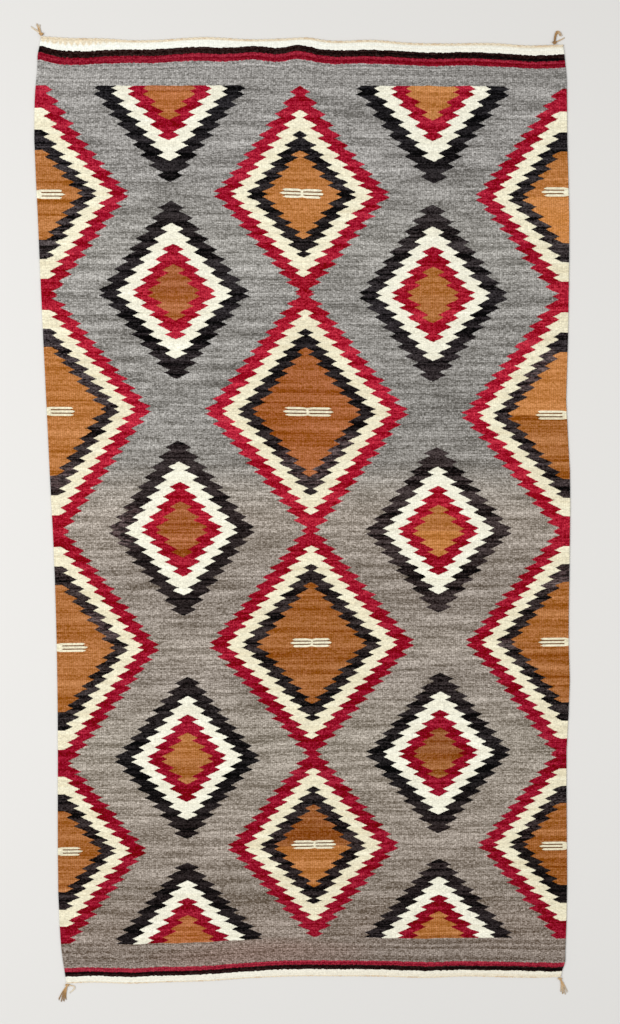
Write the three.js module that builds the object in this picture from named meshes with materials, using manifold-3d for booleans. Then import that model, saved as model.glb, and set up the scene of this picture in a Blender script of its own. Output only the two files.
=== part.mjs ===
// A flat handwoven wool rug, laid out on the floor, with a twisted cord along each end
// and a knotted tassel at each corner.
// Millimetres: X runs across the rug, Y along it, Z up from the floor under it.

import * as THREE from 'three';
import { mergeVertices } from 'three/addons/utils/BufferGeometryUtils.js';
import Module from 'manifold-3d';

const clothWidth = 1078; // side to side, before the sides wander
const topEnd = 980.5; // outer line of the top end cord, before it waves
const bottomEnd = -978; // outer line of the bottom end cord
const clothThickness = 3.6;
const selvageRound = 1.8; // the sides and ends are rolled over by half the thickness
const clothAcross = 28; // steps of the cloth from side to side
const clothAlong = 26;
const clothEdge = 4; // steps round the rolled edge
const clearance = 0.35; // between the cloth, its cords and its tassels

const weftLean = -0.0185; // the wefts of the upper half slope down towards +X
const leanSpan = 300; // the slope fades in over this far each way from the middle
const topWaveStart = 880; // the ends wave, and the waves die out over these lengths
const topWaveFull = 945;
const bottomWaveStart = -760;
const bottomWaveFull = -980;

const cordRadius = 2; // out to the crown of a ply
const cordWaist = 0.6; // thickness between the plies, as a share of the crown
const cordSides = 6;
const cordTurn = 24; // one full turn of the two plies
const stepsPerTurn = 6;
const cordInset = 1; // the cords stop this far inside the sides

const knotSize = { across: 5.2, out: 3.4, high: 2.4 }; // half sizes
const strandHeight = 2.4;
const strandSteps = 7;

// Where the two sides stand, from the bottom end to the top.
const sideLines = [
  { y: -980, left: -535, right: 532 },
  { y: -920, left: -539, right: 537 },
  { y: -820, left: -542, right: 542 },
  { y: -640, left: -539, right: 541 },
  { y: -450, left: -533, right: 540 },
  { y: -250, left: -529, right: 543 },
  { y: -50, left: -529, right: 545 },
  { y: 100, left: -532, right: 543 },
  { y: 220, left: -534, right: 536 },
  { y: 400, left: -537, right: 540 },
  { y: 640, left: -540, right: 541 },
  { y: 820, left: -541, right: 536 },
  { y: 900, left: -537, right: 535 },
  { y: 990, left: -527, right: 528 },
];

// How far the two ends rise over their straight lines.
const topWave = [
  { x: -535, rise: 6 },
  { x: -480, rise: 3 },
  { x: -400, rise: 2 },
  { x: -350, rise: -1 },
  { x: -300, rise: 0 },
  { x: -200, rise: 6 },
  { x: -100, rise: 2 },
  { x: -40, rise: 4 },
  { x: 15, rise: 6 },
  { x: 50, rise: 1 },
  { x: 150, rise: 2 },
  { x: 220, rise: -3 },
  { x: 300, rise: -4 },
  { x: 400, rise: -3 },
  { x: 460, rise: -7 },
  { x: 535, rise: -5 },
];
const bottomWave = [
  { x: -535, rise: 0 },
  { x: -480, rise: -1 },
  { x: -400, rise: -5 },
  { x: -320, rise: -3 },
  { x: -240, rise: -2 },
  { x: -150, rise: 3 },
  { x: -60, rise: 6 },
  { x: 60, rise: 5 },
  { x: 150, rise: 3 },
  { x: 250, rise: -1 },
  { x: 320, rise: 1 },
  { x: 440, rise: -3 },
  { x: 535, rise: 0 },
];

// Each tassel: its knot's place along the end, and its strands measured from the knot's middle,
// x across and y outward from the end, with the bend that each one is drawn towards.
const tassels = [
  {
    name: 'tassel_top_left',
    end: 'top',
    knotAt: -532,
    strands: [
      { bendX: -6, bendY: 5, tipX: -19.5, tipY: 14, width: 3.4 },
      { bendX: -5, bendY: 9, tipX: -8, tipY: 20, width: 3.6 },
      { bendX: -4, bendY: 10, tipX: -3, tipY: 18, width: 2.6 },
    ],
  },
  {
    name: 'tassel_top_right',
    end: 'top',
    knotAt: 520,
    strands: [
      { bendX: 4, bendY: 33, tipX: 13.5, tipY: 14, width: 3.6 },
      { bendX: 12, bendY: 4, tipX: 20, tipY: 9, width: 3.2 },
    ],
  },
  {
    name: 'tassel_bottom_left',
    end: 'bottom',
    knotAt: -532,
    strands: [
      { bendX: -10, bendY: 12, tipX: -19, tipY: 31, width: 3 },
      { bendX: -9, bendY: 14, tipX: -14, tipY: 35, width: 3 },
      { bendX: -7, bendY: 14, tipX: -9, tipY: 35, width: 3 },
      { bendX: -5, bendY: 13, tipX: -4.5, tipY: 31, width: 2.6 },
      { bendX: 28, bendY: 2, tipX: 5, tipY: 17, width: 4 },
    ],
  },
  {
    name: 'tassel_bottom_right',
    end: 'bottom',
    knotAt: 532,
    strands: [
      { bendX: 5, bendY: 12, tipX: 1.5, tipY: 28, width: 3 },
      { bendX: 6, bendY: 13, tipX: 6, tipY: 32, width: 3 },
      { bendX: 7, bendY: 13, tipX: 10.5, tipY: 33, width: 3 },
      { bendX: 9, bendY: 12, tipX: 15, tipY: 29, width: 2.6 },
    ],
  },
];

const wools = {
  cloth: { color: 0x938c84, roughness: 0.95, metalness: 0 },
  cord: { color: 0xd6c9a8, roughness: 0.95, metalness: 0 },
  tassel: { color: 0xc2a179, roughness: 0.95, metalness: 0 },
};

const { smoothstep } = THREE.MathUtils;

// A smooth reading of the columns of a table between its rows.
function readTable(rows, key, columns) {
  const keys = rows.map((row) => row[key]);
  const values = rows.flatMap((row) => columns.map((column) => row[column]));
  const curve = new THREE.CubicInterpolant(keys, values, columns.length);
  return (at) => Array.from(curve.evaluate(at));
}

const sidesAt = readTable(sideLines, 'y', ['left', 'right']);
const topRiseAt = readTable(topWave, 'x', ['rise']);
const bottomRiseAt = readTable(bottomWave, 'x', ['rise']);

// Where a point of the straight cloth lies once the cloth has its real sides, slope and ends.
function layPoint(across, along) {
  const [left, right] = sidesAt(along);
  const [topRise] = topRiseAt(across);
  const [bottomRise] = bottomRiseAt(across);
  const lean = weftLean * smoothstep(along, -leanSpan, leanSpan);
  const topShare = smoothstep(along, topWaveStart, topWaveFull);
  const bottomShare = smoothstep(-along, -bottomWaveStart, -bottomWaveFull);
  const x = left + (across / clothWidth + 0.5) * (right - left);
  const y = along + lean * across + topShare * topRise + bottomShare * bottomRise;
  return new THREE.Vector2(x, y);
}

// Only the positions are kept, so that faces that meet share their points.
function weld(geometry) {
  geometry.deleteAttribute('normal');
  geometry.deleteAttribute('uv');
  return mergeVertices(geometry, 1e-4);
}

function finishNormals(geometry) {
  geometry.computeVertexNormals();
  return geometry;
}

// The cloth: a box in fine steps, rolled at its edges and laid out by layPoint.
function makeCloth() {
  const endRoom = 2 * cordRadius + clearance;
  const length = topEnd - bottomEnd - 2 * endRoom;
  const middle = (topEnd + bottomEnd) / 2;
  const box = new THREE.BoxGeometry(1, 1, 1, clothAcross, clothAlong, clothEdge);
  const cloth = weld(box);
  const points = cloth.getAttribute('position');
  const point = new THREE.Vector3();
  for (let i = 0; i < points.count; i += 1) {
    point.fromBufferAttribute(points, i);
    const drawnIn = 2 * selvageRound * (1 - Math.sqrt(1 - (2 * point.z) ** 2));
    const across = point.x * (clothWidth - drawnIn);
    const along = middle + point.y * (length - drawnIn);
    const laid = layPoint(across, along);
    points.setXYZ(i, laid.x, laid.y, (point.z + 0.5) * clothThickness);
  }
  return cloth;
}

// The line that runs along the middle of an end cord.
function endLine(end) {
  const along = end === 'top' ? topEnd - cordRadius : bottomEnd + cordRadius;
  const reach = clothWidth / 2 - cordInset;
  const stops = Array.from({ length: clothAcross + 1 }, (_, i) => {
    const laid = layPoint(THREE.MathUtils.lerp(-reach, reach, i / clothAcross), along);
    return new THREE.Vector3(laid.x, laid.y, cordRadius);
  });
  return new THREE.CatmullRomCurve3(stops);
}

// An end cord: a rod of flat-oval section, turned steadily on its way along the end.
function makeCord(end) {
  const line = endLine(end);
  const turns = Math.round(line.getLength() / cordTurn);
  const rod = weld(new THREE.CylinderGeometry(1, 1, 1, cordSides, turns * stepsPerTurn));
  const points = rod.getAttribute('position');
  const point = new THREE.Vector3();
  const up = new THREE.Vector3(0, 0, 1);
  for (let i = 0; i < points.count; i += 1) {
    point.fromBufferAttribute(points, i);
    const share = THREE.MathUtils.clamp(point.y + 0.5, 0, 1);
    const section = new THREE.Vector2(point.x * cordRadius * cordWaist, point.z * cordRadius);
    section.rotateAround(new THREE.Vector2(), share * turns * 2 * Math.PI);
    const sideways = line.getTangentAt(share).cross(up);
    const place = line.getPointAt(share);
    place.addScaledVector(sideways, section.x).addScaledVector(up, section.y);
    points.setXYZ(i, place.x, place.y, place.z);
  }
  return rod;
}

const wasm = await Module();
wasm.setup();

function toSolid(geometry) {
  const welded = weld(geometry);
  const mesh = new wasm.Mesh({
    numProp: 3,
    vertProperties: new Float32Array(welded.getAttribute('position').array),
    triVerts: new Uint32Array(welded.getIndex().array),
  });
  return new wasm.Manifold(mesh);
}

function toGeometry(solid) {
  const mesh = solid.getMesh();
  const geometry = new THREE.BufferGeometry();
  geometry.setAttribute('position', new THREE.BufferAttribute(mesh.vertProperties, 3));
  geometry.setIndex(new THREE.BufferAttribute(mesh.triVerts, 1));
  return geometry;
}

// A strand lies on the floor: its section is wider below than on top.
function makeStrand(strand) {
  const foot = strand.width / 2;
  const crown = foot * 0.6;
  const rise = strandHeight / 2;
  const section = new THREE.Shape([
    new THREE.Vector2(rise, -foot),
    new THREE.Vector2(rise, foot),
    new THREE.Vector2(-rise, crown),
    new THREE.Vector2(-rise, -crown),
  ]);
  const path = new THREE.QuadraticBezierCurve3(
    new THREE.Vector3(0, 0, rise),
    new THREE.Vector3(strand.bendX, strand.bendY, rise),
    new THREE.Vector3(strand.tipX, strand.tipY, rise),
  );
  return new THREE.ExtrudeGeometry(section, { steps: strandSteps, extrudePath: path });
}

// A tassel: a flattened knot just off the end cord, with the strands' roots buried in it.
function makeTassel(tassel) {
  const outward = tassel.end === 'top' ? 1 : -1;
  const endAt = tassel.end === 'top' ? topEnd : bottomEnd;
  const knot = new THREE.SphereGeometry(1, 8, 6);
  knot.scale(knotSize.across, knotSize.out, knotSize.high);
  knot.translate(0, 0, knotSize.high);
  let solid = toSolid(knot);
  for (const strand of tassel.strands) {
    const turned = { ...strand, bendY: strand.bendY * outward, tipY: strand.tipY * outward };
    solid = solid.add(toSolid(makeStrand(turned)));
  }
  const laid = layPoint(tassel.knotAt, endAt);
  const geometry = toGeometry(solid);
  geometry.translate(laid.x, laid.y + outward * (knotSize.out + clearance), 0);
  return geometry;
}

const pieces = [
  { name: 'rug_body', wool: wools.cloth, geometry: makeCloth() },
  { name: 'end_cord_top', wool: wools.cord, geometry: makeCord('top') },
  { name: 'end_cord_bottom', wool: wools.cord, geometry: makeCord('bottom') },
  ...tassels.map((tassel) => ({
    name: tassel.name,
    wool: wools.tassel,
    geometry: makeTassel(tassel),
  })),
];

const rug = new THREE.Group();
for (const { name, wool, geometry } of pieces) {
  const mesh = new THREE.Mesh(finishNormals(geometry), new THREE.MeshStandardMaterial(wool));
  mesh.name = name;
  rug.add(mesh);
}

// The origin is on the floor under the middle of everything.
const extent = new THREE.Box3().setFromObject(rug);
const middle = extent.getCenter(new THREE.Vector3());
rug.position.set(-middle.x, -middle.y, -extent.min.z);

export default rug;
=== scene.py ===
import math
import random

import bmesh
import bpy
import numpy as np
from mathutils import Color, Matrix, Vector


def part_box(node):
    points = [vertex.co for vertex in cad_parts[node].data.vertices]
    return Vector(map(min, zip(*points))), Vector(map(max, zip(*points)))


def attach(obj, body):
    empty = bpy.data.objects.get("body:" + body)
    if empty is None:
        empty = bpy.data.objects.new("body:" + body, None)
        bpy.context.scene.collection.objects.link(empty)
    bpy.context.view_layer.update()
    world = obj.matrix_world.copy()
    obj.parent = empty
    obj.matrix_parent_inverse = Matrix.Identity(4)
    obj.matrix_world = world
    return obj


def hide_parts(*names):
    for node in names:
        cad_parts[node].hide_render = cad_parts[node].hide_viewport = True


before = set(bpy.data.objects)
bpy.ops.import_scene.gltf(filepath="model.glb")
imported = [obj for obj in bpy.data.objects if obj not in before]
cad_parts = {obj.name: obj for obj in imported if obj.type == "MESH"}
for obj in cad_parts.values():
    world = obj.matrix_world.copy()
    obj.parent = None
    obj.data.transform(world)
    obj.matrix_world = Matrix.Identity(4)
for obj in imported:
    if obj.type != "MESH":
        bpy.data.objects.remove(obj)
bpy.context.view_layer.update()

scene = bpy.context.scene
mm = 0.001  # sizes below are in millimetres, as measured on the rug
surfaceShare = 0.83  # how much of a seen colour is the surface's own, under the lights below
print("rug: frame loaded")


# the woven sheet: u runs across along the wefts, v along the warps, before the cloth is laid
cloth = {
    "width": 1078.0,
    "topEnd": 980.5,
    "bottomEnd": -978.0,
    "thickness": 3.6,
    "endRoom": 4.35,  # the solid cloth stops this far in from the cords' outer edge
    "underCord": 2.4,  # the woven one runs in under the cords
    "cornerRound": 7.0,
    "cornerDepth": 0.75,  # 1 would be a full quarter round
    "warps": 244,
    "columnsPerWarp": 4,
    "weftPitch": 0.75,
    "ribHeight": 0.35,
    "thinEnd": 0.35,  # share of the thickness left at the very end
    "thinEndLength": 4.0,
    "thinSides": (0.4, 0.85),  # share left at the outermost column and the one beside it
    "endRows": [0, 1.2, 4, 9, 17, 26, 36, 47, 60, 75, 95],  # close together where the ends wave
    "evenRows": 24,
    "evenRowsFrom": 120.0,
    "lean": -0.0185,  # wefts of the upper half slope down to the right
    "leanSpan": 300.0,
    "topStripeFade": (886, 945),  # the stripes' wave grows over this stretch of v
    "topEdgeFade": (960, 979),  # and turns to the outer edge's own over this one
    "bottomStripeFade": (800, 940),
    "bottomEdgeFade": (958, 977),
    "sides": [  # v, left, right
        (-980, -532, 531), (-958, -533.5, 533), (-945, -535, 538), (-920, -538, 539), (-820, -542, 542),
        (-640, -539, 541), (-450, -533, 541), (-370, -531, 546), (-250, -529, 543.5), (-50, -529, 545),
        (100, -532, 545), (160, -533, 542.5), (220, -534, 537.5), (400, -537, 540), (640, -540, 541),
        (820, -541, 536), (885, -536.5, 535.5), (923, -531, 534), (944, -530, 532), (965, -524.5, 530),
        (990, -523, 528),
    ],
    "topEdge": [  # u, rise of the outer edge
        (-535, 6), (-480, 3), (-400, 2), (-350, -1), (-300, 0), (-200, 6), (-100, 2), (-40, 4), (15, 6),
        (50, 1), (150, 2), (220, -3), (300, -4), (400, -3), (460, -7), (535, -5),
    ],
    "topStripe": [  # u, rise of the stripes just inside it
        (-535, 6), (-515, 1), (-495, -3), (-440, -4), (-380, -1), (-300, 0), (-225, 5), (-140, 5), (-100, 8),
        (-50, 4), (-5, 10), (40, 2), (150, 1), (200, -1), (235, -3), (280, -4), (320, -2), (400, -4),
        (475, -8), (535, -6),
    ],
    "bottomEdge": [
        (-535, -2.5), (-480, -1.5), (-400, -5), (-320, -3), (-240, -2), (-150, 3), (-60, 6), (60, 5),
        (150, 3), (250, -1), (320, 1), (440, -3), (500, -4), (535, -3),
    ],
    "bottomStripe": [
        (-535, -2), (-480, -1.5), (-400, -5), (-320, -3), (-240, -2), (-150, 3.5), (-60, 7), (60, 6),
        (150, 4), (250, 0), (320, 1), (410, -1.5), (470, -4), (535, -6),
    ],
}


def readTable(rows, at):  # smooth reading of the columns between the rows
    table = np.array(rows, float)
    keys, values = table[:, 0], table[:, 1:]
    slopes = np.gradient(values, keys, axis=0)
    at = np.clip(np.asarray(at, float), keys[0], keys[-1])
    spot = np.clip(np.searchsorted(keys, at) - 1, 0, len(keys) - 2)
    step = keys[spot + 1] - keys[spot]
    t = ((at - keys[spot]) / step)[..., None]
    step = step[..., None]
    start, finish = values[spot], values[spot + 1]
    rise = finish - start
    a = slopes[spot] * step - rise
    b = rise - slopes[spot + 1] * step
    read = start + t * rise + t * (1 - t) * (a * (1 - t) + b * t)
    return [read[..., i] for i in range(values.shape[1])]


def ease(low, high, at):  # 0 at low to 1 at high, level at both
    t = np.clip((np.asarray(at, float) - low) / (high - low), 0, 1)
    return t * t * (3 - 2 * t)


def layPoints(u, v):  # where points of the straight cloth lie on the floor, in millimetres
    left, right = readTable(cloth["sides"], v)
    x = left + (u / cloth["width"] + 0.5) * (right - left)
    y = v + cloth["lean"] * ease(-cloth["leanSpan"], cloth["leanSpan"], v) * u
    for end, outward in (("top", v), ("bottom", -v)):
        edge, = readTable(cloth[end + "Edge"], u)
        stripe, = readTable(cloth[end + "Stripe"], u)
        atEdge = ease(*cloth[end + "EdgeFade"], outward)
        y = y + (stripe + (edge - stripe) * atEdge) * ease(*cloth[end + "StripeFade"], outward)
    return x, y


def cornerShift():  # from the measured cloth to the part's own origin
    half, points = cloth["width"] / 2, 400
    v = np.linspace(cloth["bottomEnd"], cloth["topEnd"], points)
    leftX, _ = layPoints(np.full_like(v, -half), v)
    u = np.linspace(-half, half, points)
    _, bottomY = layPoints(u, np.full_like(u, cloth["bottomEnd"] + cloth["endRoom"]))
    low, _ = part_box("rug_body")
    return low.x / mm - leftX.min(), low.y / mm - bottomY.min()


shiftX, shiftY = cornerShift()
print("rug: cloth sits at", round(shiftX, 2), round(shiftY, 2))


def newObject(name, mesh, material, node):
    piece = bpy.data.objects.new(name, mesh)
    scene.collection.objects.link(piece)
    mesh.materials.clear()
    mesh.materials.append(material)
    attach(piece, "root")
    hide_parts(node)
    return piece


def smoothFaces(mesh):
    mesh.polygons.foreach_set("use_smooth", [True] * len(mesh.polygons))


# short ways to put nodes together
def plug(tree, value, socket):
    if isinstance(value, bpy.types.NodeSocket):
        tree.links.new(value, socket)
    else:
        socket.default_value = value


def calc(tree, operation, *values):
    node = tree.nodes.new("ShaderNodeMath")
    node.operation = operation
    for value, socket in zip(values, node.inputs):
        plug(tree, value, socket)
    return node.outputs[0]


def times(tree, first, second):
    return calc(tree, "MULTIPLY", first, second)


def timesPlus(tree, first, second, third):  # first times second, plus third
    return calc(tree, "MULTIPLY_ADD", first, second, third)


def above(tree, value, limit):  # 1 where the value is greater, otherwise 0
    return calc(tree, "GREATER_THAN", value, limit)


def minus(tree, first, second):
    return calc(tree, "SUBTRACT", first, second)


def centred(tree, value):  # 0 to 1 made -0.5 to 0.5
    return minus(tree, value, 0.5)


def either(tree, test, yes, no):  # one number where the test is 1, the other where it is 0
    return timesPlus(tree, test, minus(tree, yes, no), no)


def between(tree, value, low, high):  # 0 to 1 as the value goes from low to high
    node = tree.nodes.new("ShaderNodeMapRange")
    node.inputs["From Min"].default_value = low
    node.inputs["From Max"].default_value = high
    tree.links.new(value, node.inputs["Value"])
    return node.outputs[0]


def joinVector(tree, x, y, z):
    node = tree.nodes.new("ShaderNodeCombineXYZ")
    for value, socket in zip((x, y, z), node.inputs):
        plug(tree, value, socket)
    return node.outputs[0]


def blendColor(tree, share, first, second, way="MIX"):
    node = tree.nodes.new("ShaderNodeMix")
    node.data_type = "RGBA"
    node.blend_type = way
    plug(tree, share, node.inputs[0])
    plug(tree, first, node.inputs[6])
    plug(tree, second, node.inputs[7])
    return node.outputs[2]


def tinted(tree, color, tint):
    return blendColor(tree, 1.0, color, tint, "MULTIPLY")


def dimmed(tree, color, share):
    return tinted(tree, color, joinVector(tree, share, share, share))


def noiseAt(tree, vector, scale, detail, roughness):
    node = tree.nodes.new("ShaderNodeTexNoise")
    plug(tree, vector, node.inputs["Vector"])
    node.inputs["Scale"].default_value = scale
    node.inputs["Detail"].default_value = detail
    node.inputs["Roughness"].default_value = roughness
    return node


def newGroup(name, inputs, output, colors=()):  # each socket holds a number, or a colour if named there
    group = bpy.data.node_groups.new(name, "ShaderNodeTree")
    for way, labels in (("INPUT", inputs), ("OUTPUT", [output])):
        for label in labels:
            kind = "NodeSocketColor" if label in colors else "NodeSocketFloat"
            group.interface.new_socket(name=label, in_out=way, socket_type=kind)
    entry = group.nodes.new("NodeGroupInput")
    leave = group.nodes.new("NodeGroupOutput")
    return group, entry.outputs, leave.inputs[0]


def useGroup(tree, group, values):
    node = tree.nodes.new("ShaderNodeGroup")
    node.node_tree = group
    for label, value in values.items():
        plug(tree, value, node.inputs[label])
    return node.outputs[0]


def yarn(red, green, blue):  # a colour as seen on the rug, made a surface colour
    seen = Color((red / 255, green / 255, blue / 255)).from_srgb_to_scene_linear()
    return (*(part * surfaceShare for part in seen), 1.0)


def shadeRamp(tree, value, stops):  # stops: place from 0 to 1, colour as seen
    node = tree.nodes.new("ShaderNodeValToRGB")
    tree.links.new(value, node.inputs[0])
    marks = node.color_ramp.elements
    while len(marks) < len(stops):
        marks.new(0.5)
    for mark, (at, shade) in zip(marks, stops):
        mark.position = at
        mark.color = yarn(*shade)
    return node.outputs[0]


def newWoolMaterial(name):  # dull, with almost no shine
    material = bpy.data.materials.new(name)
    material.use_nodes = True
    shader = material.node_tree.nodes["Principled BSDF"]
    shader.inputs["Roughness"].default_value = 0.95
    shader.inputs["Specular IOR Level"].default_value = 0.06
    return material, material.node_tree, shader


def addBump(tree, shader, height, distance):
    bump = tree.nodes.new("ShaderNodeBump")
    bump.inputs["Strength"].default_value = 0.5
    bump.inputs["Distance"].default_value = distance * mm
    tree.links.new(height, bump.inputs["Height"])
    tree.links.new(bump.outputs[0], shader.inputs["Normal"])


# how deep a point lies inside one stepped diamond, counted in colour bands
def makeDiamondGroup():
    group, into, out = newGroup("serratedDiamond", [
        "Across", "Along", "Centre", "Middle", "Reach", "Step", "Teeth", "Pitch Up", "Pitch Down", "Stretch",
        "Blunt", "Rim",
    ], "Depth")
    ramp, bite = 0.29, 12.5  # the short side's share of a tooth, and how far it cuts back
    hair, rimDepth = 0.001, 0.01  # just under a whole band, and just inside the outermost one
    off = minus(group, into["Along"], into["Middle"])
    upper = above(group, off, 0.0)
    pitch = either(group, upper, into["Pitch Up"], into["Pitch Down"])
    even = calc(group, "DIVIDE", calc(group, "ABSOLUTE", off), pitch)
    # some upper teeth grow taller toward the tip
    stretch = times(group, upper, into["Stretch"])
    left = minus(group, 1.0, calc(group, "DIVIDE", even, into["Teeth"]))
    count = times(group, even, timesPlus(group, stretch, left, 1.0))
    tooth = calc(group, "FLOOR", count)
    part = minus(group, count, tooth)
    shortSide = timesPlus(group, part, -bite / ramp, bite)
    fall = calc(group, "ADD", into["Step"], bite)
    longPart = timesPlus(group, part, 1 / (1 - ramp), -ramp / (1 - ramp))
    saw = calc(group, "MAXIMUM", shortSide, times(group, longPart, fall))
    width = minus(group, into["Reach"], timesPlus(group, tooth, into["Step"], saw))
    side = calc(group, "ABSOLUTE", minus(group, into["Across"], into["Centre"]))
    # each nested band has two teeth fewer than the one round it, and is blunt where the edge cuts it
    band = times(group, into["Step"], 2.0)
    depth = minus(group, width, calc(group, "MAXIMUM", side, into["Blunt"]))
    more = minus(group, minus(group, into["Teeth"], 1.0), tooth)
    bands = calc(group, "ADD", calc(group, "FLOOR", times(group, more, 0.5)), 1.0)
    nested = calc(group, "MINIMUM", calc(group, "DIVIDE", depth, band), minus(group, bands, hair))
    # the outermost band is a little wider
    rim = calc(group, "ADD", minus(group, width, side), into["Rim"])
    outer = calc(group, "MINIMUM", calc(group, "MINIMUM", rim, rimDepth), calc(group, "ADD", more, 0.5))
    group.links.new(calc(group, "MAXIMUM", nested, outer), out)
    return group


# three short pale weft lines, drawn together at a block: 1 on a line, 0.5 between lines
def makeMarkGroup():
    group, into, out = newGroup("weftMark", [
        "Across", "Along", "Centre", "Middle", "Reach", "Block", "Slope",
    ], "Mark")
    space, half = 7.0, 2.25  # from line to line, and half a line's thickness
    pinch, pinchReach = 0.22, 9.0  # how much, and how far out, the block draws them together
    shorter, taper, gapIn = 5.0, 0.4, 3.0  # the outer lines, their ends, and the gap between two
    across = minus(group, into["Across"], into["Centre"])
    away = calc(group, "ABSOLUTE", across)
    off = minus(group, into["Along"], into["Middle"])
    off = timesPlus(group, across, into["Slope"], off)
    near = minus(group, 1.0, calc(group, "DIVIDE", away, pinchReach))
    drawn = timesPlus(group, calc(group, "MAXIMUM", near, 0.0), pinch, 1.0)
    pinched = times(group, off, drawn)
    line = calc(group, "ROUND", calc(group, "DIVIDE", pinched, space))
    line = calc(group, "MAXIMUM", calc(group, "MINIMUM", line, 1.0), -1.0)
    reach = timesPlus(group, calc(group, "ABSOLUTE", line), -shorter, into["Reach"])
    left = minus(group, reach, away)
    thick = times(group, calc(group, "MAXIMUM", left, 0.0), taper)
    fromLine = calc(group, "ABSOLUTE", timesPlus(group, line, -space, pinched))
    onLine = calc(group, "LESS_THAN", fromLine, calc(group, "MINIMUM", thick, half))
    inside = calc(group, "LESS_THAN", calc(group, "ABSOLUTE", pinched), space + half)
    block = times(group, calc(group, "LESS_THAN", away, into["Block"]), inside)
    gap = times(group, above(group, left, gapIn), inside)
    pale = calc(group, "MAXIMUM", onLine, block)
    group.links.new(calc(group, "MAXIMUM", pale, times(group, gap, 0.5)), out)
    return group


# handspun wool of darker and paler fibre, flecked, with a painted sheen of loose hairs that catch the light
def makeHeatherGroup():
    group, into, out = newGroup("handspunWool", [
        "Dark", "Pale", "Streaks", "Amount", "Lean", "Fleck", "Fleck Amount", "Fuzz Sheen",
    ], "Wool", colors=("Dark", "Pale", "Wool"))
    seenPower = 2.2  # flecks are shares of the colour as seen
    streakFuzzSheen, leastFuzzSheen = 5.0, -0.8
    share = group.nodes.new("ShaderNodeClamp")
    mixed = timesPlus(group, into["Streaks"], into["Amount"], into["Lean"])
    group.links.new(mixed, share.inputs[0])
    plain = blendColor(group, share.outputs[0], into["Dark"], into["Pale"])
    fleck = timesPlus(group, into["Fleck"], into["Fleck Amount"], 1.0)
    flecked = dimmed(group, plain, calc(group, "POWER", fleck, seenPower))
    # painted sheen of loose hairs, added to the colour: it lightens more than it darkens
    loose = timesPlus(group, into["Streaks"], streakFuzzSheen, into["Fleck"])
    fuzzSheen = times(group, calc(group, "MAXIMUM", loose, leastFuzzSheen), into["Fuzz Sheen"])
    fuzzSheened = blendColor(group, 1.0, flecked, joinVector(group, fuzzSheen, fuzzSheen, fuzzSheen), "ADD")
    fuzzSheened.node.clamp_result = True
    group.links.new(fuzzSheened, out)
    return group


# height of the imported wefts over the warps
def makeWeaveGroup():
    group, into, out = newGroup("weftBeads", ["Across", "Along", "Warp", "Weft"], "Height")
    warp = calc(group, "DIVIDE", into["Across"], into["Warp"])
    odd = times(group, calc(group, "MODULO", calc(group, "FLOOR", warp), 2.0), 0.5)
    weft = calc(group, "ADD", calc(group, "DIVIDE", into["Along"], into["Weft"]), odd)
    crown = calc(group, "ABSOLUTE", calc(group, "SINE", times(group, warp, math.pi)))
    bead = calc(group, "ABSOLUTE", calc(group, "SINE", times(group, weft, math.pi)))
    group.links.new(times(group, crown, timesPlus(group, bead, 0.5, 0.5)), out)
    return group


diamondGroup = makeDiamondGroup()
markGroup = makeMarkGroup()
heatherGroup = makeHeatherGroup()
weaveGroup = makeWeaveGroup()
print("rug: shader groups built")


# the woven design, in millimetres of the straight cloth
shapeLabels = ("Centre", "Middle", "Reach", "Tip", "Teeth", "Pitch Up", "Pitch Down", "Stretch")
toneLabels = ("Brown Up", "Brown Down", "Black Up", "Black Down")  # of the upper and lower half
bigDiamonds = {
    "rim": 3.5,
    "cell": 250.0,
    "columns": [
        [  # down the middle
            (-2, 677, 175, 17, 11, 19.9, 19.1, 0.15, 0.65, 0.70, 1.2, 0.8),
            (0, 236, 207, 17, 13, 19.5, 19.9, 0, 0.37, 0.40, 0.72, 0.68),
            (-2, -249, 213, 17, 13, 19.4, 19.0, 0, 0.31, 0.28, 0.95, 1.05),
            (2, -684.5, 178, 17, 11, 19.4, 19.0, 0, 0.15, 0.64, 1.25, 1.0),
        ],
        [  # along the left edge
            (-539, 676.5, 184, 31, 11, 20.2, 19.7, 0.18, 0.51, 0.56, 1.45, 1.9),
            (-539, 240, 213, 31, 13, 18.7, 20.2, 0, 0.64, 0.60, 2.05, 1.02),
            (-539, -252, 213, 31, 13, 19.6, 20.1, 0, 0.40, 0.45, 1.2, 1.35),
            (-539, -689, 185, 31, 11, 18.6, 18.9, 0, 0.37, 0.35, 1.25, 1.15),
        ],
        [  # along the right edge
            (539, 672.5, 186.5, 31, 11, 19.6, 19.4, 0.03, 0.69, 1.3, 1.15, 1.6),
            (539, 229.5, 214.5, 31, 13, 19.8, 19.8, 0.03, 0.80, 0.41, 1.25, 1.1),
            (539, -250.5, 214, 31, 13, 19.0, 19.4, 0, 0.46, 0.34, 1.12, 1.47),
            (539, -687, 185, 31, 11, 18.8, 19.1, 0, 0.36, 0.36, 1.75, 0.56),
        ],
    ],
}
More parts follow.
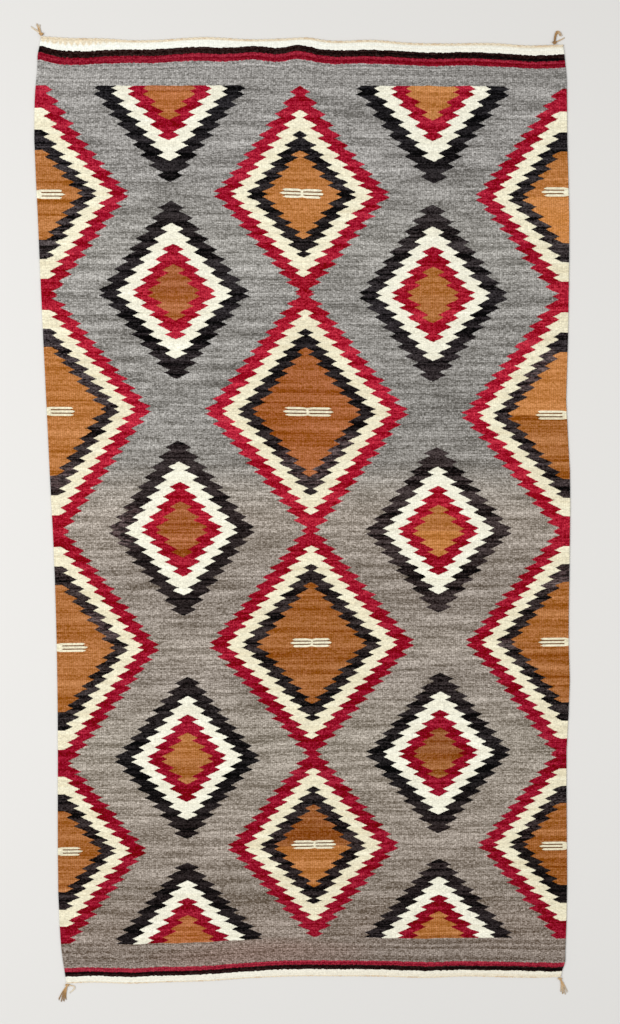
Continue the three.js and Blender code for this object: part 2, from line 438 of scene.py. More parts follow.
smallDiamonds = {
    "rim": 5.0,
    "cell": 165.0,
    "columns": [
        [  # left of the middle
            (-267, 879.5, 149, 22, 9, 20.1, 20.1, 0, 0.42, 0.69, 0.8, 0.8),
            (-267, 476.5, 149, 22, 9, 20.7, 19.5, 0, 0.27, 0.41, 0.85, 0.9),
            (-270, -7.5, 148, 22, 9, 20.5, 20.0, 0, 0.33, 0.35, 0.78, 0.6),
            (-265, -491, 149.5, 22, 9, 19.6, 19.4, 0, 0.53, 0.40, 0.95, 0.67),
            (-265.5, -885, 153, 22, 9, 18.9, 18.9, 0, 0.55, 0.59, 0.68, 0.68),
        ],
        [  # right of the middle
            (267, 881, 150, 22, 9, 20.3, 20.3, 0, 1.1, 0.72, 0.75, 0.75),
            (262, 474, 148, 22, 9, 20.4, 19.5, 0, 0.51, 0.42, 1.1, 0.93),
            (265, -13, 147.5, 22, 9, 19.8, 19.4, 0, 0.50, 0.87, 1.15, 1.15),
            (267.5, -486.5, 149, 22, 9, 19.3, 19.4, 0, 0.03, 0.23, 1.17, 0.8),
            (267, -884.5, 153, 22, 9, 18.85, 18.85, 0, 0.62, 0.35, 0.97, 0.97),
        ],
    ],
}
edgeBlunt = 14.0  # half width of the blunt bands in a diamond that the rug's edge cuts through
beyondEnds = 1200.0  # past both ends of the cloth
weftMarks = {  # one in each big diamond, in the same order
    "labels": ("Centre", "Middle", "Reach", "Block", "Slope"),
    "rows": [
        (-1, 678, 44, 2.4, 0.03), (2, 236, 53, 2.4, 0.012), (-3, -246.5, 45, 2.4, 0), (3, -681, 48, 2.4, 0),
        (-539, 674, 57, 10, 0), (-539, 234.5, 61, 9, 0), (-539, -250, 66, 11, 0), (-539, -689, 52, 10, 0),
        (539, 683.5, 55, 9, 0), (539, 231, 66, 10, 0), (539, -252, 65, 9, 0), (539, -691, 58, 10, 0),
    ],
    "gapTint": (0.42, 0.44, 0.45, 1.0),  # the brown between two lines lies in their shade
}
patternCut = {"top": 891.5, "slope": 0.0035, "bottom": -891.0}  # the diamonds are cut straight here
endStripes = {
    "rows": [  # from the grey outward: yarn, top, bottom
        ("stripeRed", 934.5, -943.0), ("stripeBlack", 948.8, -952.4), ("stripeWhite", 961.5, -962.5),
    ],
    "warpLift": 1.4,  # each warp lifts the stripes' edges by up to this
    "waver": 4.0,
    "twining": {  # tan that shows through the white at the very edge, deepest at the left corner
        "from": 7.0, "to": 4.0, "share": 0.6, "corner": (-440.0, -360.0), "spike": 6.0, "sway": 20.0,
        "depth": 1.5, "spikeDepth": 0.9,
    },
}


# uneven work: where the wool changes, and how the hand wanders; also painted shade, darker toward the bottom
# end and between the warps
fadedBlack = {  # where a brown-grey yarn took over from the black: u, v, half width, half height
    "rows": [
        (45, 135, 130, 62), (481, 318, 60, 60), (-448, -205, 55, 36), (-378, -2, 50, 52), (410, -252, 30, 16),
        (530, -120, 60, 34), (-520, 100, 60, 30),
    ],
    "hatch": (0.05, 0.22),  # the two yarns lie in turns
    "hatchEdge": (-0.08, 0.06),
    "softness": 0.5,
}
dyeStains = {  # where red dye ran into the grey
    "rows": [(-120, -924, 260, 40)],
    "tint": (1.16, 0.93, 0.92, 1.0),
    "softness": 1.6,
}
redderBrown = {  # spun into the big middle diamond and most of the small ones on the left
    "rows": [(0, 236, 150, 190), (-267, 440, 90, 760), (-265, -885, 90, 200)],
    "tint": (1.0, 0.89, 1.04, 1.0),
    "softness": 0.3,
}
batchesAndShade = {  # each yarn changes with the batch of wool or dye, and also holds painted shade that darkens it toward the bottom end: v, colour
    "grey": [
        (-975, (122, 110, 101)), (-860, (140, 127, 116)), (-780, (135, 124, 113)), (-690, (151, 140, 129)),
        (-450, (154, 145, 133)), (-320, (147, 137, 127)), (-255, (156, 146, 135)), (-185, (141, 131, 121)),
        (-105, (140, 130, 120)), (20, (156, 146, 135)), (70, (157, 149, 139)), (130, (137, 133, 127)),
        (230, (140, 137, 132)), (330, (142, 139, 134)), (475, (144, 141, 136)), (570, (154, 151, 145)),
        (655, (143, 140, 135)), (730, (147, 144, 140)), (940, (147, 144, 140)),
    ],
    "red": [
        (-975, (137, 0, 33)), (-350, (141, 2, 36)), (-250, (147, 8, 38)), (-40, (149, 12, 37)),
        (10, (160, 18, 41)), (260, (168, 26, 49)), (440, (163, 23, 44)), (510, (154, 18, 40)),
        (600, (157, 19, 45)), (880, (156, 17, 43)),
    ],
    "black": [
        (-975, (25, 20, 22)), (-665, (38, 29, 28)), (-520, (23, 20, 21)), (-250, (39, 31, 30)),
        (0, (48, 39, 38)), (200, (46, 38, 38)), (455, (33, 29, 31)), (595, (40, 34, 34)), (880, (28, 26, 29)),
    ],
}
batchWools = {  # share of the batch's colour in the darkest and palest fibre, then streaks, flecks, painted sheen of the fuzz
    "grey": (0.73, 1.27, 3.4, 0.165, 0.06),
    "red": (0.75, 1.25, 4.4, 0.19, 0.015),
    "black": (0.3, 1.6, 4.8, 0.30, 0.009),
}
wools = {  # darkest and palest fibre as seen, then streaks, flecks, painted sheen of the fuzz
    "cream": ((216, 204, 171), (243, 238, 212), 1.8, 0.085, 0.0),
    "white": ((224, 219, 196), (247, 245, 228), 1.8, 0.085, 0.0),
    "brown": ((130, 71, 31), (200, 133, 74), 1.7, 0.10, 0.023),
    "rusty": ((54, 42, 44), (108, 90, 88), 3.0, 0.2, 0.02),
    "tan": ((200, 168, 116), (234, 212, 170), 3.0, 0.08, 0.0),
    "stripeRed": ((112, 6, 24), (168, 42, 62), 3.4, 0.2, 0.009),
    "stripeBlack": ((20, 6, 4), (50, 28, 25), 3.4, 0.2, 0.008),
    "stripeWhite": ((229, 216, 189), (246, 248, 239), 2.0, 0.05, 0.0),
}
palerCream = {"from": 480.0, "to": 620.0, "lean": 0.5, "more": 0.22}  # paler up the rug, between these v
endWhite = {"bottom": 0.52, "top": 0.75}  # lean to the paler fibre at each end
handwork = {
    "wander": 0.03,  # scale of the slow drift of the wefts
    "sway": 7.0,  # how far the drift moves a turn across, and a row along
    "rise": 5.0,
    "ragged": (0.04, 0.6),  # turns that differ from row to row
    "raggedSway": 8.0,
    "fibreScale": 0.36,  # loose fibre, pale and dark
    "fibreStrength": 3.6,
    "pickStrength": 1.3,  # single picks of two wefts over one warp
    "fleckLimits": (-1.5, 1.8),
    "shortStreaks": (0.013, 0.28),
    "shortShare": 0.5,
    "longStreaks": (0.005, 0.06),
    "longShare": 0.55,
    "run": {"ground": 1.0, "diamond": 0.4, "ends": 0.1},  # the less, the longer a streak
    "lots": (17.3, 5.7),  # sets the bands of small and big diamonds apart
    "paintedFurrowShade": (1.06, -0.2),  # painted shade, darker in the furrows between the warps
}
warpPitch, weftPitch = cloth["width"] / cloth["warps"], cloth["weftPitch"]


def chartCells(spec):  # each diamond with the stretch of cloth that is its own
    def meet(upper, lower):
        upperFoot = upper["Middle"] - upper["Teeth"] * upper["Pitch Down"]
        lowerTip = lower["Middle"] + lower["Teeth"] * lower["Pitch Up"]
        return (upperFoot + lowerTip) / 2
    cells = []
    for rows in spec["columns"]:
        column = [dict(zip(shapeLabels + toneLabels, values)) for values in rows]
        for spot, mine in enumerate(column):
            last = spot + 1 == len(column)
            mine["top"] = meet(column[spot - 1], mine) if spot else beyondEnds
            mine["bottom"] = -beyondEnds if last else meet(mine, column[spot + 1])
            mine["Step"] = (mine["Reach"] - mine["Tip"]) / (mine["Teeth"] - 1)
            atEdge = abs(mine["Centre"]) >= cloth["width"] / 2
            mine["Blunt"] = edgeBlunt if atEdge else 0.0
            cells.append(mine)
    return cells


def stretched(tree, run, along, scales, lot):  # noise drawn out along the wefts
    acrossScale, alongScale = scales
    x, y = times(tree, run, acrossScale), times(tree, along, alongScale)
    return centred(tree, noiseAt(tree, joinVector(tree, x, y, lot), 1.0, 1.0, 0.5).outputs[0])


# where a point lies in the straight cloth, and the turn and row that the hand gave its weft
def readWeave(tree):
    place = tree.nodes.new("ShaderNodeUVMap")
    place.uv_map = "weave"
    split = tree.nodes.new("ShaderNodeSeparateXYZ")
    tree.links.new(place.outputs[0], split.inputs[0])
    across, along = split.outputs[0], split.outputs[1]
    wander = tree.nodes.new("ShaderNodeSeparateColor")
    drift = noiseAt(tree, joinVector(tree, across, along, 0.0), handwork["wander"], 2.0, 0.5)
    tree.links.new(drift.outputs["Color"], wander.inputs[0])
    sway, rise, waver = [centred(tree, part) for part in wander.outputs]
    ragged = stretched(tree, across, along, handwork["ragged"], 3.0)
    slide = timesPlus(tree, sway, handwork["sway"], times(tree, ragged, handwork["raggedSway"]))
    moved = calc(tree, "ADD", across, slide)
    # every weft turns back at a warp
    turn = warpPitch / 2
    turnCount = calc(tree, "FLOOR", calc(tree, "DIVIDE", moved, turn))
    return {
        "across": across, "along": along, "sway": sway, "waver": waver, "moved": moved,
        "turn": times(tree, calc(tree, "ADD", turnCount, 0.5), turn),
        "row": timesPlus(tree, rise, handwork["rise"], along),
        "warpCount": calc(tree, "FLOOR", calc(tree, "DIVIDE", across, warpPitch)),
    }


def pickNumbers(tree, choices, labels):  # the numbers of the one choice that a point lies in
    picked = {}
    for inside, values in choices:
        for label in labels:
            if values[label]:
                before = picked.get(label, 0.0)
                picked[label] = timesPlus(tree, inside, float(values[label]), before)
    return picked


# the diamonds of one size: depth in bands, tones of brown and black, and where each one's cell lies
def layDiamonds(tree, weave, spec):
    choices = []
    for cell in chartCells(spec):
        middle, half = (cell["top"] + cell["bottom"]) / 2, (cell["top"] - cell["bottom"]) / 2
        inColumn = calc(tree, "COMPARE", weave["turn"], float(cell["Centre"]), spec["cell"])
        inRows = calc(tree, "COMPARE", weave["row"], middle, half)
        choices.append((times(tree, inColumn, inRows), cell))
    shape = pickNumbers(tree, choices, (
        "Centre", "Middle", "Reach", "Step", "Teeth", "Pitch Up", "Pitch Down", "Stretch", "Blunt"))
    depth = useGroup(tree, diamondGroup, {
        "Across": weave["turn"], "Along": weave["row"], "Rim": spec["rim"], **shape})
    halves = pickNumbers(tree, choices, toneLabels)
    upper = above(tree, weave["row"], shape["Middle"])
    brown = either(tree, upper, halves["Brown Up"], halves["Brown Down"])
    black = either(tree, upper, halves["Black Up"], halves["Black Down"])
    return depth, (brown, black), [inside for inside, _ in choices]


# flecks of loose fibre and single picks, and streaks that differ from band to band
def spinTexture(tree, weave, inPattern, small, big):
    across, along = weave["across"], weave["along"]
    fibre = noiseAt(tree, joinVector(tree, across, along, 7.0), handwork["fibreScale"], 1.0, 0.6)
    loose = times(tree, centred(tree, fibre.outputs[0]), handwork["fibreStrength"])
    oddWarp = calc(tree, "FLOORED_MODULO", weave["warpCount"], 2.0)
    lifted = calc(tree, "ADD", along, times(tree, oddWarp, weftPitch))
    pickRow = calc(tree, "FLOOR", calc(tree, "DIVIDE", lifted, 2 * weftPitch))
    picks = tree.nodes.new("ShaderNodeTexWhiteNoise")
    picks.noise_dimensions = "2D"
    tree.links.new(joinVector(tree, weave["warpCount"], pickRow, 0.0), picks.inputs["Vector"])
    single = times(tree, centred(tree, picks.outputs[0]), handwork["pickStrength"])
    least, most = handwork["fleckLimits"]
    fleck = calc(tree, "MINIMUM", calc(tree, "ADD", loose, single), most)

    lot = 0.0
    for depth, apart in zip((small, big), handwork["lots"]):
        band = calc(tree, "MINIMUM", calc(tree, "MAXIMUM", calc(tree, "CEIL", depth), 0.0), 4.0)
        lot = timesPlus(tree, band, apart, lot)
    lot = times(tree, lot, inPattern)
    # in a diamond every weft runs the whole width of its colour, and past the pattern from side to side
    runs = handwork["run"]
    woven = either(tree, above(tree, lot, 0.0), runs["diamond"], runs["ground"])
    run = times(tree, across, either(tree, inPattern, woven, runs["ends"]))
    short = stretched(tree, run, along, handwork["shortStreaks"], lot)
    long = stretched(tree, run, along, handwork["longStreaks"], lot)
    streaks = timesPlus(tree, short, handwork["shortShare"], times(tree, long, handwork["longShare"]))
    return {"Streaks": streaks, "Fleck": calc(tree, "MAXIMUM", fleck, least)}


def makeWool(tree, texture, dark, pale, amounts, lean=0.5):
    streaks, flecks, fuzzSheen = amounts
    return useGroup(tree, heatherGroup, {
        "Dark": dark, "Pale": pale, "Amount": streaks, "Lean": lean, "Fleck Amount": flecks, "Fuzz Sheen": fuzzSheen,
        **texture})


def plainWool(tree, texture, name, lean=0.5):
    dark, pale, *amounts = wools[name]
    return makeWool(tree, texture, yarn(*dark), yarn(*pale), amounts, lean)


def batchAndShadeWool(tree, texture, weave, name):
    span = cloth["topEnd"] - cloth["bottomEnd"]
    at = timesPlus(tree, weave["row"], 1 / span, -cloth["bottomEnd"] / span)
    stops = [((v - cloth["bottomEnd"]) / span, shade) for v, shade in batchesAndShade[name]]
    # the batch colours carry painted shade too, darker toward the bottom end
    shade = shadeRamp(tree, at, stops)
    darkest, palest, *amounts = batchWools[name]
    dark, pale = [tinted(tree, shade, (part, part, part, 1.0)) for part in (darkest, palest)]
    return makeWool(tree, texture, dark, pale, amounts)


def patches(tree, weave, spec):  # 0 outside the patches of cloth, rising from the rim of each
    best = -1.0
    for u, v, halfWidth, halfHeight in spec["rows"]:
        du = calc(tree, "DIVIDE", minus(tree, weave["across"], float(u)), float(halfWidth))
        dv = calc(tree, "DIVIDE", minus(tree, weave["along"], float(v)), float(halfHeight))
        far = timesPlus(tree, du, du, times(tree, dv, dv))
        best = calc(tree, "MAXIMUM", best, minus(tree, 1.0, far))
    return between(tree, best, 0.0, spec["softness"])


def makeYarns(tree, weave, texture, brownTone, blackTone):
    # painted shade: the grey, red, brown and black are darkened in the furrow between each two warps
    level, depth = handwork["paintedFurrowShade"]
    ridge = times(tree, weave["across"], math.pi / warpPitch)
    paintedFurrowShade = calc(tree, "ABSOLUTE", calc(tree, "COSINE", ridge))
    paintedFurrowShade = timesPlus(tree, times(tree, paintedFurrowShade, paintedFurrowShade), depth, level)
    paintedFurrowShade = joinVector(tree, paintedFurrowShade, paintedFurrowShade, paintedFurrowShade)

    paler = between(tree, weave["row"], palerCream["from"], palerCream["to"])
    creamLean = timesPlus(tree, paler, palerCream["more"], palerCream["lean"])
    atTop = above(tree, weave["along"], 0.0)
    whiteLean = either(tree, atTop, endWhite["top"], endWhite["bottom"])

    brown = plainWool(tree, texture, "brown", brownTone)
    redder = patches(tree, weave, redderBrown)
    brown = blendColor(tree, redder, brown, tinted(tree, brown, redderBrown["tint"]))

    black = dimmed(tree, batchAndShadeWool(tree, texture, weave, "black"), blackTone)
    inTurns = stretched(tree, weave["across"], weave["along"], fadedBlack["hatch"], 5.0)
    hatch = between(tree, inTurns, *fadedBlack["hatchEdge"])
    faded = times(tree, patches(tree, weave, fadedBlack), hatch)
    black = blendColor(tree, faded, black, plainWool(tree, texture, "rusty"))

    grey = tinted(tree, batchAndShadeWool(tree, texture, weave, "grey"), paintedFurrowShade)
    stained = patches(tree, weave, dyeStains)
    return {
        "grey": blendColor(tree, stained, grey, tinted(tree, grey, dyeStains["tint"])),
        "red": tinted(tree, batchAndShadeWool(tree, texture, weave, "red"), paintedFurrowShade),
        "brown": tinted(tree, brown, paintedFurrowShade),
        "black": tinted(tree, black, paintedFurrowShade),
        "cream": plainWool(tree, texture, "cream", creamLean),
        "white": plainWool(tree, texture, "white"),
        "stripeRed": tinted(tree, plainWool(tree, texture, "stripeRed"), paintedFurrowShade),
        "stripeBlack": tinted(tree, plainWool(tree, texture, "stripeBlack"), paintedFurrowShade),
        "stripeWhite": plainWool(tree, texture, "stripeWhite", whiteLean),
        "tan": plainWool(tree, texture, "tan"),
    }


def addMarks(tree, weave, color, cream, cells):  # a weft mark in each big diamond
    labels = weftMarks["labels"]
    choices = [(inside, dict(zip(labels, values))) for inside, values in zip(cells, weftMarks["rows"])]
    mark = useGroup(tree, markGroup, {
        "Across": weave["moved"], "Along": weave["along"], **pickNumbers(tree, choices, labels)})
    shade = tinted(tree, color, weftMarks["gapTint"])
    color = blendColor(tree, above(tree, mark, 0.25), color, shade)
    return blendColor(tree, above(tree, mark, 0.75), color, cream)


def addEnds(tree, weave, color, yarns):  # the end stripes, and the twining at the very edge
    along = weave["along"]
    jitter = tree.nodes.new("ShaderNodeTexWhiteNoise")
    jitter.noise_dimensions = "1D"
    tree.links.new(weave["warpCount"], jitter.inputs["W"])
    edge = timesPlus(tree, centred(tree, jitter.outputs[0]), endStripes["warpLift"], along)
    edge = timesPlus(tree, weave["waver"], endStripes["waver"], edge)
    for name, top, bottom in endStripes["rows"]:
        share = calc(tree, "MAXIMUM", above(tree, edge, top), above(tree, bottom, edge))
        color = blendColor(tree, share, color, yarns[name])
    twining = endStripes["twining"]
    atCorner = minus(tree, 1.0, between(tree, weave["across"], *twining["corner"]))
    swayed = timesPlus(tree, weave["sway"], twining["sway"], weave["across"])
    spike = calc(tree, "PINGPONG", swayed, twining["spike"])
    deep = timesPlus(tree, spike, twining["spikeDepth"], twining["depth"])
    reach = calc(tree, "ADD", along, times(tree, atCorner, deep))
    outer = between(tree, reach, cloth["topEnd"] - twining["from"], cloth["topEnd"] - twining["to"])
    return blendColor(tree, times(tree, outer, twining["share"]), color, yarns["tan"])


def makeClothMaterial():
    material, tree, shader = newWoolMaterial("wovenWool")
    weave = readWeave(tree)
    small, smallTones, _ = layDiamonds(tree, weave, smallDiamonds)
    big, bigTones, bigCells = layDiamonds(tree, weave, bigDiamonds)
    inSmall = above(tree, small, 0.0)
    brownTone, blackTone = [either(tree, inSmall, *tones) for tones in zip(smallTones, bigTones)]
    cut = timesPlus(tree, weave["across"], patternCut["slope"], patternCut["top"])
    inPattern = times(tree, above(tree, cut, weave["row"]), above(tree, weave["row"], patternCut["bottom"]))
    texture = spinTexture(tree, weave, inPattern, small, big)
    yarns = makeYarns(tree, weave, texture, brownTone, blackTone)

    color = yarns["grey"]
    nested = ((small, ("black", "white", "red", "brown")), (big, ("red", "cream", "black", "brown")))
    for depth, bands in nested:  # from the outermost band in
        for level, name in enumerate(bands):
            inBand = above(tree, depth, float(level))
            color = blendColor(tree, times(tree, inBand, inPattern), color, yarns[name])
    color = addMarks(tree, weave, color, yarns["cream"], bigCells)
    color = addEnds(tree, weave, color, yarns)
    tree.links.new(color, shader.inputs["Base Color"])
    beads = useGroup(tree, weaveGroup, {
        "Across": weave["across"], "Along": weave["along"], "Warp": warpPitch, "Weft": 2 * weftPitch})
    addBump(tree, shader, beads, 0.25)
    return material


def makeClothGrid(columns, rows):  # one square of cells with an underside, to be pulled into shape
    bm = bmesh.new()
    bmesh.ops.create_grid(bm, x_segments=columns, y_segments=rows, size=0.5)
    bmesh.ops.solidify(bm, geom=bm.faces[:], thickness=0.1)
    mesh = bpy.data.meshes.new("rugCloth")
    bm.to_mesh(mesh)
    bm.free()
    return mesh


def clothThickness(column, columns, fromEnd):  # half of it: ribs over the warps, thin at the sides and ends
    perWarp = cloth["columnsPerWarp"]
    rib = np.sin(np.pi * (column % perWarp) / perWarp)
    half = cloth["thickness"] / 2 - cloth["ribHeight"] * (1 - rib)
    growth = np.sqrt(np.clip(fromEnd / cloth["thinEndLength"], 0, 1))
    half = half * (cloth["thinEnd"] + (1 - cloth["thinEnd"]) * growth)
    outermost, beside = cloth["thinSides"]
    fromSide = np.minimum(column, columns - column)
    return half * np.where(fromSide == 0, outermost, np.where(fromSide == 1, beside, 1.0))


def mapCloth(mesh, u, v, bottom, top):  # the straight cloth as a map in millimetres, and again for the bake
    vertex = np.empty(len(mesh.loops), int)
    mesh.loops.foreach_get("vertex_index", vertex)
    weave = mesh.uv_layers.new(name="weave")
    weave.data.foreach_set("uv", np.stack([u, v], -1)[vertex].ravel())
    bake = mesh.uv_layers.new(name="OFBake")
    flat = np.stack([u / cloth["width"] + 0.5, (v - bottom) / (top - bottom)], -1)
    bake.data.foreach_set("uv", flat[vertex].ravel())


def makeCloth():
    columns = cloth["warps"] * cloth["columnsPerWarp"]
    top, bottom = cloth["topEnd"] - cloth["underCord"], cloth["bottomEnd"] + cloth["underCord"]
    ends, inset = cloth["endRows"], cloth["evenRowsFrom"]
    inner = np.linspace(bottom + inset, top - inset, cloth["evenRows"])
    lines = np.array([bottom + e for e in ends] + list(inner) + [top - e for e in reversed(ends)])
    rows = len(lines) - 1
    mesh = makeClothGrid(columns, rows)

    points = np.empty(len(mesh.vertices) * 3)
    mesh.vertices.foreach_get("co", points)
    points = points.reshape(-1, 3)
    column = np.rint((points[:, 0] + 0.5) * columns)
    line = np.rint((points[:, 1] + 0.5) * rows).astype(int)
    upper = np.where(points[:, 2] > points[:, 2].mean(), 1.0, -1.0)
    u = (column / columns - 0.5) * cloth["width"]
    v = lines[line]
    fromEnd = np.minimum(v - bottom, top - v)
    corner = np.clip(1 - fromEnd / cloth["cornerRound"], 0, 1)
    drawnIn = (1 - np.sqrt(1 - corner ** 2 * cloth["cornerDepth"])) * cloth["cornerRound"]
    x, y = layPoints(u * (1 - drawnIn / cloth["width"] * 2), v)
    z = cloth["thickness"] / 2 + upper * clothThickness(column, columns, fromEnd)
    laid = np.stack([(x + shiftX) * mm, (y + shiftY) * mm, z * mm], -1)
    mesh.vertices.foreach_set("co", laid.ravel())
    mapCloth(mesh, u, v, bottom, top)
    mesh.update()

    bm = bmesh.new()
    bm.from_mesh(mesh)
    bmesh.ops.recalc_face_normals(bm, faces=bm.faces[:])
    bm.to_mesh(mesh)
    bm.free()
    smoothFaces(mesh)
    return mesh


rug = newObject("rugCloth", makeCloth(), makeClothMaterial(), "rug_body")
print("rug: cloth woven,", len(rug.data.polygons), "faces")


# the two cords twined along the ends
endCord = {
    "radius": 2.0, "plyRadius": 1.12, "turn": 24.0, "inset": 1.0, "pointsPerTurn": 12, "sides": 6,
    "tone": 0.86, "patchy": 0.14,
}
looseYarn = {  # wool of the cords and tassels: a piece's own tone runs from brown through tan to cream
    "stops": [(0.0, (124, 90, 58)), (0.5, (196, 156, 106)), (1.0, (246, 239, 218))],
    "fibreScale": 900.0,
    "fibreShare": 0.5,
    "patchScale": 60.0,
    "patchFrom": 0.56,
}


def makeYarnMaterial(name, patchy):
    material, tree, shader = newWoolMaterial(name)
    place = tree.nodes.new("ShaderNodeTexCoord")
    fibre = noiseAt(tree, place.outputs["Object"], looseYarn["fibreScale"], 3.0, 0.6)
    patch = noiseAt(tree, place.outputs["Object"], looseYarn["patchScale"], 2.0, 0.5)
    tone = tree.nodes.new("ShaderNodeAttribute")
    tone.attribute_name = "tone"
    mixed = timesPlus(tree, centred(tree, fibre.outputs[0]), looseYarn["fibreShare"], tone.outputs["Fac"])
    darker = above(tree, patch.outputs[0], looseYarn["patchFrom"])
    mixed = timesPlus(tree, darker, -patchy, mixed)
    tree.links.new(shadeRamp(tree, mixed, looseYarn["stops"]), shader.inputs["Base Color"])
    addBump(tree, shader, fibre.outputs[0], 0.3)
    return material


def sweepYarns(name, paths, sides):  # each path: list of (point in millimetres, radius, tone)
    curve = bpy.data.curves.new(name, "CURVE")
    curve.dimensions = "3D"
    curve.bevel_depth = mm
    curve.bevel_resolution = sides // 2 - 1
    for path in paths:
        spline = curve.splines.new("POLY")
        spline.points.add(len(path) - 1)
        for spot, (point, radius, _) in zip(spline.points, path):
            spot.co = (*(Vector(point) * mm), 1.0)
            spot.radius = radius
    holder = bpy.data.objects.new(name, curve)
    mesh = bpy.data.meshes.new_from_object(holder)
    bpy.data.objects.remove(holder)
    bpy.data.curves.remove(curve)
    tones = [tone for path in paths for _, _, tone in path]
    around = len(mesh.vertices) // len(tones)
    mesh.attributes.new("tone", "FLOAT", "POINT").data.foreach_set("value", np.repeat(tones, around))
    bm = bmesh.new()
    bm.from_mesh(mesh)
    bmesh.ops.holes_fill(bm, edges=[edge for edge in bm.edges if edge.is_boundary])
    bm.to_mesh(mesh)
    bm.free()
    smoothFaces(mesh)
    return mesh


def makeEndCord(end):
    radius, plyRadius, perTurn = endCord["radius"], endCord["plyRadius"], endCord["pointsPerTurn"]
    v = cloth["topEnd"] - radius if end == "top" else cloth["bottomEnd"] + radius
    reach = cloth["width"] / 2 - endCord["inset"]
    count = int(2 * reach / endCord["turn"] * perTurn)
    u = np.linspace(-reach, reach, count)
    x, y = layPoints(u, np.full_like(u, v))
    off = radius - plyRadius
    paths = []
    for start in (0, math.pi):
        turn = start + 2 * math.pi * np.arange(count) / perTurn
        path = []
        for px, py, a in zip(x, y, turn):
            point = (px + shiftX, py + shiftY + off * math.sin(a), radius + off * math.cos(a))
            path.append((point, plyRadius, endCord["tone"]))
        paths.append(path)
    return sweepYarns("endCord" + end.capitalize(), paths, endCord["sides"])


cordMaterial = makeYarnMaterial("cordWool", endCord["patchy"])
cords = [
    newObject("endCordTop", makeEndCord("top"), cordMaterial, "end_cord_top"),
    newObject("endCordBottom", makeEndCord("bottom"), cordMaterial, "end_cord_bottom"),
]
print("rug: end cords twisted")


# corner tassels: a knot, and yarns that lie out from it on the floor
tassel = {
    "knot": (5.2, 3.4, 2.4),  # half sizes
    "knotCord": 1.25,
    "knotSteps": 48,
    "gap": 0.35,
    "patchy": 0.1,
    "yarnRadius": 0.55,
    "yarnTaper": 0.35,
    "yarnSides": 4,
    "yarnSteps": 10,
    "yarnsPerStrand": 9,
    "liftRange": 1.1,
    "reachRange": 0.16,
    "spreadRange": 0.6,
    "curl": 0.35,
    "corners": [  # strands: bend x, bend y, tip x, tip y, width, tone at the root and at the tip
        {
            "name": "tasselTopLeft", "node": "tassel_top_left", "end": "top", "knotAt": -537,
            "knotTone": 0.5,
            "strands": [
                (-6, 5, -19.5, 14, 3.4, 0.6, 0.95), (-5, 9, -8, 20, 3.6, 0.35, 0.75),
                (-4, 10, -3, 18, 2.6, 0.5, 0.9),
            ],
        }, {
            "name": "tasselTopRight", "node": "tassel_top_right", "end": "top", "knotAt": 520,
            "knotTone": 0.2,
            "strands": [(3, 33, 13.5, 14, 6.5, 0.1, 0.75), (12, 4, 20, 9, 3.2, 0.5, 0.7)],
        }, {
            "name": "tasselBottomLeft", "node": "tassel_bottom_left", "end": "bottom", "knotAt": -536,
            "knotTone": 0.55,
            "strands": [
                (-10, 12, -19, 31, 3, 0.5, 0.3), (-9, 14, -14, 35, 3, 0.45, 0.3),
                (-7, 14, -9, 35, 3, 0.5, 0.35), (-5, 13, -4.5, 31, 2.6, 0.55, 0.4),
                (28, 2, 5, 17, 4, 0.7, 0.95),
            ],
        }, {
            "name": "tasselBottomRight", "node": "tassel_bottom_right", "end": "bottom", "knotAt": 536,
            "knotTone": 0.6,
            "strands": [
                (5, 12, 1.5, 28, 3, 0.6, 0.7), (6, 13, 6, 32, 3, 0.55, 0.65),
                (7, 13, 10.5, 33, 3, 0.6, 0.7), (9, 12, 15, 29, 2.6, 0.65, 0.75),
            ],
        },
    ],
}


def tieKnot(middle, tone):  # an overhand knot pulled tight
    cord, steps = tassel["knotCord"], tassel["knotSteps"]
    sizeX, sizeY, sizeZ = [size - cord for size in tassel["knot"]]
    path = []
    for i in range(steps + 1):
        t = 2 * math.pi * i / steps
        spot = Vector(((math.sin(t) + 2 * math.sin(2 * t)) / 3 * sizeX,
                       (math.cos(t) - 2 * math.cos(2 * t)) / 3 * sizeY,
                       -math.sin(3 * t) * sizeZ))
        path.append((middle + spot, cord, tone))
    return path


def layYarn(middle, outward, strand, chance):  # one loose yarn of a strand, from the knot to its tip
    bendX, bendY, tipX, tipY, width, rootTone, tipTone = strand
    bend, tip = Vector((bendX, bendY, 0)), Vector((tipX, tipY, 0))
    radius, steps = tassel["yarnRadius"], tassel["yarnSteps"]
    side = (chance.random() - 0.5) * (width - radius)
    lift = radius + chance.random() * tassel["liftRange"]
    reach = 1 + (chance.random() - 0.5) * tassel["reachRange"]
    spread = 1 + chance.random() * tassel["spreadRange"]
    path = []
    for i in range(steps + 1):
        t = i / steps * reach
        tangent = (bend * (1 - t) + (tip - bend) * t).normalized()
        normal = Vector((-tangent.y, tangent.x, 0))
        curl = math.sin(t * 7 + side * 4) * tassel["curl"] * t
        spot = bend * (2 * t * (1 - t)) + tip * (t * t) + normal * (side * (0.5 + t * 0.5 * spread) + curl)
        height = middle.z * (1 - t) ** 2 + lift * (1 - (1 - t) ** 2)
        point = Vector((middle.x + spot.x, middle.y + spot.y * outward, max(height, radius)))
        path.append((point, radius * (1 - tassel["yarnTaper"] * t), rootTone + (tipTone - rootTone) * t))
    return path


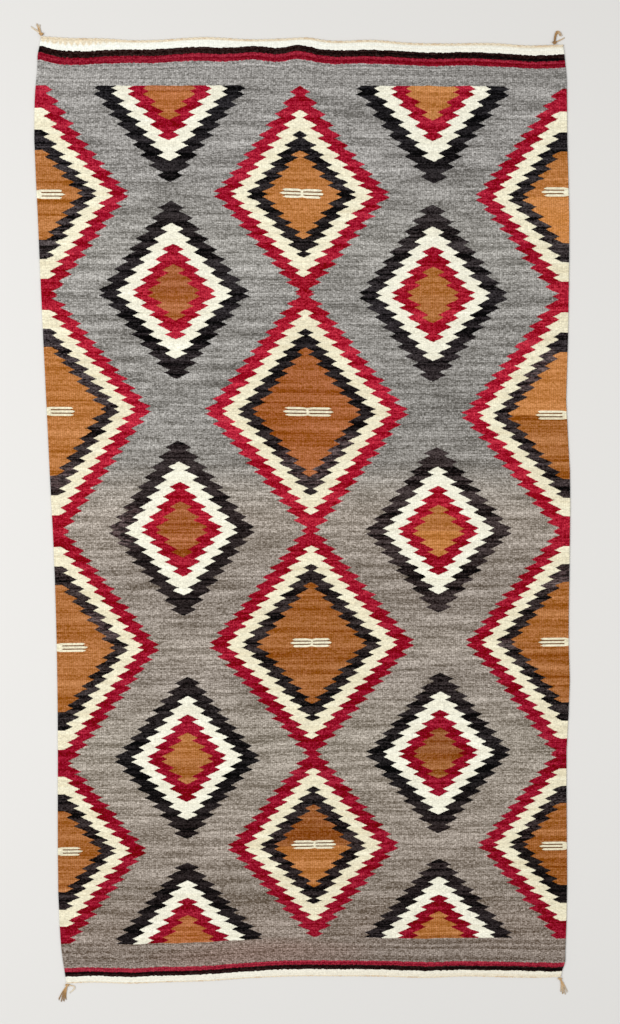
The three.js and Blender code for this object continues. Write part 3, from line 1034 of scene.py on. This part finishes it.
def makeTassel(corner, seed):
    chance = random.Random(seed)
    outward = 1 if corner["end"] == "top" else -1
    x, y = layPoints(np.array([float(corner["knotAt"])]), np.array([cloth[corner["end"] + "End"]]))
    _, knotOut, knotHigh = tassel["knot"]
    middle = Vector((x[0] + shiftX, y[0] + shiftY + outward * (knotOut + tassel["gap"]), knotHigh))
    paths = [tieKnot(middle, corner["knotTone"])]
    for strand in corner["strands"]:
        for _ in range(tassel["yarnsPerStrand"]):
            paths.append(layYarn(middle, outward, strand, chance))
    return sweepYarns(corner["node"], paths, tassel["yarnSides"])


tasselMaterial = makeYarnMaterial("tasselWool", tassel["patchy"])
for seed, corner in enumerate(tassel["corners"], start=1):
    mesh = makeTassel(corner, seed)
    newObject(corner["name"], mesh, tasselMaterial, corner["node"])
print("rug: tassels tied")


# pale floor and soft light from above
studio = {
    "floorSize": 30.0,
    "floorBelow": 0.2,  # millimetres under the rug
    "floorColor": (0.62, 0.61, 0.59, 1.0),
    "skyLight": 0.45,
    "boxSize": (2.4, 3.0),
    "boxes": [("keyLight", (-2.6, 0.2, 3.6), 160), ("fillLight", (2.6, -0.2, 3.4), 70)],
}


def makeFloor():
    bm = bmesh.new()
    bmesh.ops.create_grid(bm, x_segments=1, y_segments=1, size=studio["floorSize"])
    mesh = bpy.data.meshes.new("floor")
    bm.to_mesh(mesh)
    bm.free()
    material = bpy.data.materials.new("paleFloor")
    material.use_nodes = True
    shader = material.node_tree.nodes["Principled BSDF"]
    shader.inputs["Base Color"].default_value = studio["floorColor"]
    shader.inputs["Roughness"].default_value = 0.9
    mesh.materials.append(material)
    floor = bpy.data.objects.new("floor", mesh)
    scene.collection.objects.link(floor)
    floor.location.z = -studio["floorBelow"] * mm


def addSoftbox(name, place, power):
    lamp = bpy.data.lights.new(name, "AREA")
    lamp.shape = "RECTANGLE"
    lamp.size, lamp.size_y = studio["boxSize"]
    lamp.energy = power
    holder = bpy.data.objects.new(name, lamp)
    scene.collection.objects.link(holder)
    holder.location = place
    holder.rotation_euler = (-Vector(place)).to_track_quat("-Z", "Y").to_euler()


def addSky():
    world = bpy.data.worlds.new("studio")
    world.use_nodes = True
    sky = world.node_tree.nodes["Background"]
    sky.inputs["Color"].default_value = (1.0, 1.0, 1.0, 1.0)
    sky.inputs["Strength"].default_value = studio["skyLight"]
    scene.world = world


makeFloor()
addSky()
for box in studio["boxes"]:
    addSoftbox(*box)
scene.view_settings.view_transform = "Standard"


# the camera looks almost straight down, a little from the top end
view = {"target": (5.5, 28.0), "distance": 2.8, "tilt": 5.31, "roll": 0.79, "lens": 47.38, "sensor": 36.0}


def addCamera():
    roll, tilt = math.radians(view["roll"]), math.radians(view["tilt"])
    targetX, targetY = view["target"]
    target = Vector(((targetX + shiftX) * mm, (targetY + shiftY) * mm, 0))
    up = Vector((math.sin(roll), math.cos(roll), 0))
    place = target + view["distance"] * (math.sin(tilt) * up + math.cos(tilt) * Vector((0, 0, 1)))
    look = (target - place).normalized()
    right = look.cross(up).normalized()
    top = right.cross(look)
    camera = bpy.data.objects.new("camera", bpy.data.cameras.new("camera"))
    camera.data.lens = view["lens"]
    camera.data.sensor_width = view["sensor"]
    camera.data.dof.use_dof = False
    camera.matrix_world = Matrix((right, top, -look)).transposed().to_4x4()
    camera.location = place
    scene.collection.objects.link(camera)
    scene.camera = camera


addCamera()
print("rug: stage set")
